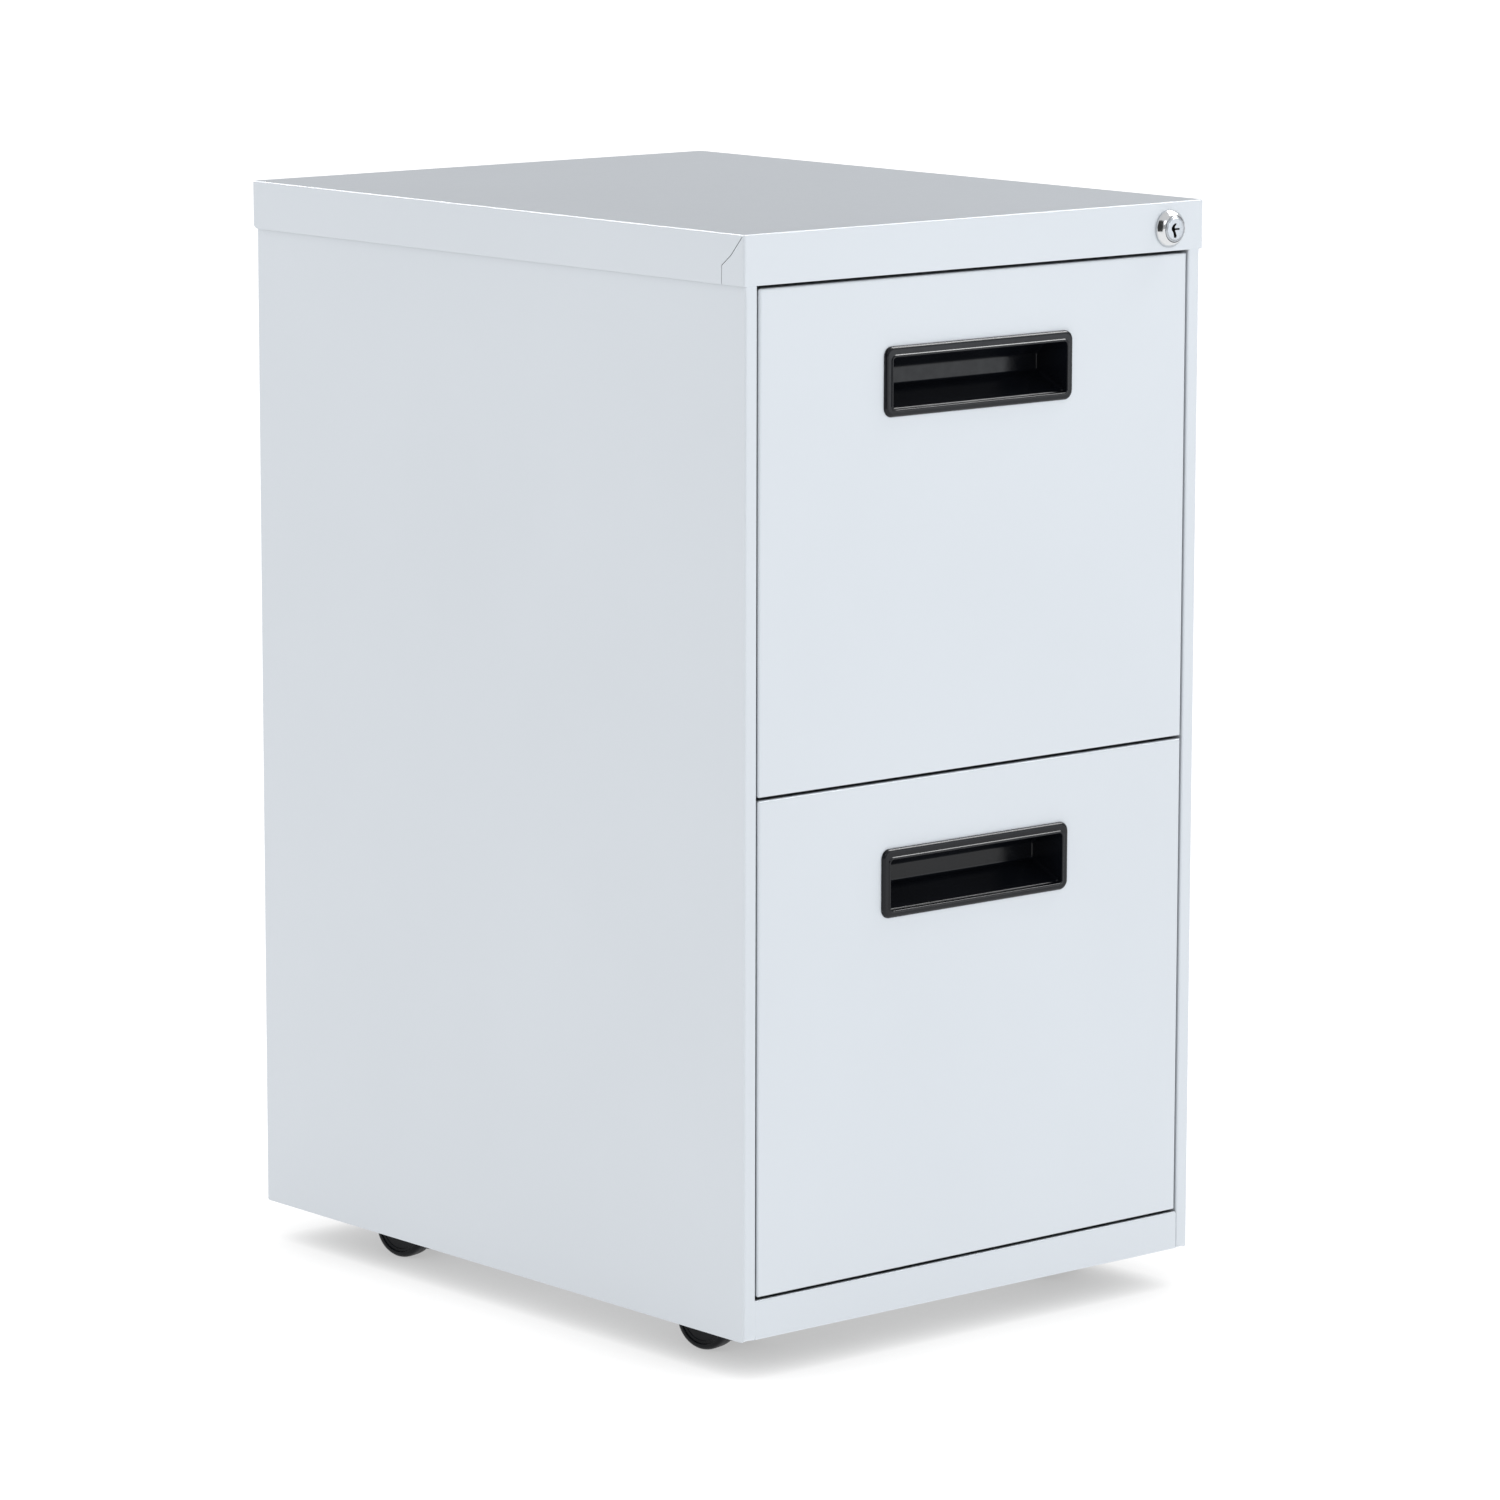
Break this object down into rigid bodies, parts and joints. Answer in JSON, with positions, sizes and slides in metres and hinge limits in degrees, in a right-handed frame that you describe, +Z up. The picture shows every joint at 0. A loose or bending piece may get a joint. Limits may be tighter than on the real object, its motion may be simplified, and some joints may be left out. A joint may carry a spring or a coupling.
{
  "type": "metal filing cabinet",
  "caption": "Low mobile filing cabinet in light grey painted steel, with stacked file drawers on ball slides, recessed black pulls, a cam lock and twin-wheel casters.",
  "frame": {"origin": "on the floor under the middle of the cabinet's bounding box", "axes": "+Z up, drawers open towards -Y, +X to the right when facing the drawers"},
  "size_m": [0.382, 0.4984, 0.7058],
  "materials": {
    "painted_steel": "light grey powder coat, fine smooth texture, satin",
    "inner_steel": "light grey primer-smooth paint on the inside sheet parts, satin",
    "zinc_steel": "zinc plated, bright, fine rolled grain",
    "ball_cage_steel": "oiled steel strip and polished balls",
    "cast_weight": "rough black coated iron",
    "lock_chrome": "polished nickel-chrome",
    "black_plastic": "moulded, satin, fine grain",
    "caster_plastic": "moulded, satin",
    "tread_plastic": "hard smooth tread",
    "bumper_rubber": "matte"
  },
  "bodies": {
    "cabinet": {"top_cap": "painted_steel", "left_side_panel": "painted_steel", "right_side_panel": "painted_steel", "back_panel": "painted_steel", "bottom_pan": "inner_steel", "base_rail": "painted_steel", "top_rail": "painted_steel", "slide_uprights": "zinc_steel", "counterweight": "cast_weight", "lock_housing": "lock_chrome", "lock_nut": "zinc_steel", "lock_bar_guides": "zinc_steel", "slide_bumpers": "bumper_rubber", "caster_plates": "zinc_steel", "caster_screws": "zinc_steel", "upper_left_slide_outer": "zinc_steel", "upper_right_slide_outer": "zinc_steel", "lower_left_slide_outer": "zinc_steel", "lower_right_slide_outer": "zinc_steel"},
    "lock_cylinder": {"lock_plug": "lock_chrome", "lock_cam": "zinc_steel"},
    "lock_rod": {"lock_bar": "zinc_steel"},
    "upper_drawer": {"upper_drawer_front": "painted_steel", "upper_drawer_liner": "inner_steel", "upper_handle": "black_plastic", "upper_drawer_bin": "inner_steel", "upper_drawer_back": "inner_steel", "upper_file_rails": "zinc_steel", "upper_lock_catch": "zinc_steel", "upper_left_slide_inner": "zinc_steel", "upper_right_slide_inner": "zinc_steel"},
    "upper_slide_middles": {"upper_left_slide_middle": "zinc_steel", "upper_right_slide_middle": "zinc_steel"},
    "upper_outer_cages": {"upper_outer_ball_cages": "ball_cage_steel"},
    "upper_inner_cages": {"upper_inner_ball_cages": "ball_cage_steel"},
    "lower_drawer": {"lower_drawer_front": "painted_steel", "lower_drawer_liner": "inner_steel", "lower_handle": "black_plastic", "lower_drawer_bin": "inner_steel", "lower_drawer_back": "inner_steel", "lower_file_rails": "zinc_steel", "lower_lock_catch": "zinc_steel", "lower_left_slide_inner": "zinc_steel", "lower_right_slide_inner": "zinc_steel"},
    "lower_slide_middles": {"lower_left_slide_middle": "zinc_steel", "lower_right_slide_middle": "zinc_steel"},
    "lower_outer_cages": {"lower_outer_ball_cages": "ball_cage_steel"},
    "lower_inner_cages": {"lower_inner_ball_cages": "ball_cage_steel"},
    "front_left_swivel": {"front_left_caster_hood": "caster_plastic"},
    "front_left_wheel": {"front_left_caster_axle": "zinc_steel", "front_left_caster_wheels": "tread_plastic"},
    "front_right_swivel": {"front_right_caster_hood": "caster_plastic"},
    "front_right_wheel": {"front_right_caster_axle": "zinc_steel", "front_right_caster_wheels": "tread_plastic"},
    "rear_left_swivel": {"rear_left_caster_hood": "caster_plastic"},
    "rear_left_wheel": {"rear_left_caster_axle": "zinc_steel", "rear_left_caster_wheels": "tread_plastic"},
    "rear_right_swivel": {"rear_right_caster_hood": "caster_plastic"},
    "rear_right_wheel": {"rear_right_caster_axle": "zinc_steel", "rear_right_caster_wheels": "tread_plastic"}
  },
  "joints": [
    {"name": "upper_drawer_slide", "type": "slide", "parent": "cabinet", "child": "upper_drawer", "axis": [0, -1, 0], "range_m": [0, 0.4]},
    {"name": "upper_slide_middles_travel", "type": "slide", "parent": "cabinet", "child": "upper_slide_middles", "axis": [0, -1, 0], "range_m": [0, 0.2]},
    {"name": "upper_outer_cages_travel", "type": "slide", "parent": "cabinet", "child": "upper_outer_cages", "axis": [0, -1, 0], "range_m": [0, 0.1]},
    {"name": "upper_inner_cages_travel", "type": "slide", "parent": "cabinet", "child": "upper_inner_cages", "axis": [0, -1, 0], "range_m": [0, 0.3]},
    {"name": "lower_drawer_slide", "type": "slide", "parent": "cabinet", "child": "lower_drawer", "axis": [0, -1, 0], "range_m": [0, 0.4]},
    {"name": "lower_slide_middles_travel", "type": "slide", "parent": "cabinet", "child": "lower_slide_middles", "axis": [0, -1, 0], "range_m": [0, 0.2]},
    {"name": "lower_outer_cages_travel", "type": "slide", "parent": "cabinet", "child": "lower_outer_cages", "axis": [0, -1, 0], "range_m": [0, 0.1]},
    {"name": "lower_inner_cages_travel", "type": "slide", "parent": "cabinet", "child": "lower_inner_cages", "axis": [0, -1, 0], "range_m": [0, 0.3]},
    {"name": "lock_turn", "type": "hinge", "parent": "cabinet", "child": "lock_cylinder", "pos_m": [0.1612, -0.24325, 0.6889], "axis": [0, 1, 0], "range_deg": [0, 90]},
    {"name": "lock_rod_travel", "type": "slide", "parent": "cabinet", "child": "lock_rod", "axis": [0, 0, -1], "range_m": [0, 0.01696]},
    {"name": "front_left_swivel_turn", "type": "hinge", "parent": "cabinet", "child": "front_left_swivel", "pos_m": [-0.1415, -0.14435, 0.045], "axis": [0, 0, 1], "continuous": true},
    {"name": "front_left_wheel_roll", "type": "hinge", "parent": "front_left_swivel", "child": "front_left_wheel", "pos_m": [-0.13797, -0.16098, 0.02], "axis": [0.9781, 0.2079, 0], "continuous": true},
    {"name": "front_right_swivel_turn", "type": "hinge", "parent": "cabinet", "child": "front_right_swivel", "pos_m": [0.1415, -0.14435, 0.045], "axis": [0, 0, 1], "continuous": true},
    {"name": "front_right_wheel_roll", "type": "hinge", "parent": "front_right_swivel", "child": "front_right_wheel", "pos_m": [0.14503, -0.16098, 0.02], "axis": [0.9781, 0.2079, 0], "continuous": true},
    {"name": "rear_left_swivel_turn", "type": "hinge", "parent": "cabinet", "child": "rear_left_swivel", "pos_m": [-0.1415, 0.165, 0.045], "axis": [0, 0, 1], "continuous": true},
    {"name": "rear_left_wheel_roll", "type": "hinge", "parent": "rear_left_swivel", "child": "rear_left_wheel", "pos_m": [-0.13797, 0.14837, 0.02], "axis": [0.9781, 0.2079, 0], "continuous": true},
    {"name": "rear_right_swivel_turn", "type": "hinge", "parent": "cabinet", "child": "rear_right_swivel", "pos_m": [0.1415, 0.165, 0.045], "axis": [0, 0, 1], "continuous": true},
    {"name": "rear_right_wheel_roll", "type": "hinge", "parent": "rear_right_swivel", "child": "rear_right_wheel", "pos_m": [0.14503, 0.14837, 0.02], "axis": [0.9781, 0.2079, 0], "continuous": true}
  ],
  "couplings": [
    {"joint": "upper_slide_middles_travel", "follows": "upper_drawer_slide", "ratio": 0.5},
    {"joint": "upper_outer_cages_travel", "follows": "upper_drawer_slide", "ratio": 0.25},
    {"joint": "upper_inner_cages_travel", "follows": "upper_drawer_slide", "ratio": 0.75},
    {"joint": "lower_slide_middles_travel", "follows": "lower_drawer_slide", "ratio": 0.5},
    {"joint": "lower_outer_cages_travel", "follows": "lower_drawer_slide", "ratio": 0.25},
    {"joint": "lower_inner_cages_travel", "follows": "lower_drawer_slide", "ratio": 0.75},
    {"joint": "lock_turn", "follows": "lock_rod_travel", "rad_per_m": 92.6}
  ]
}
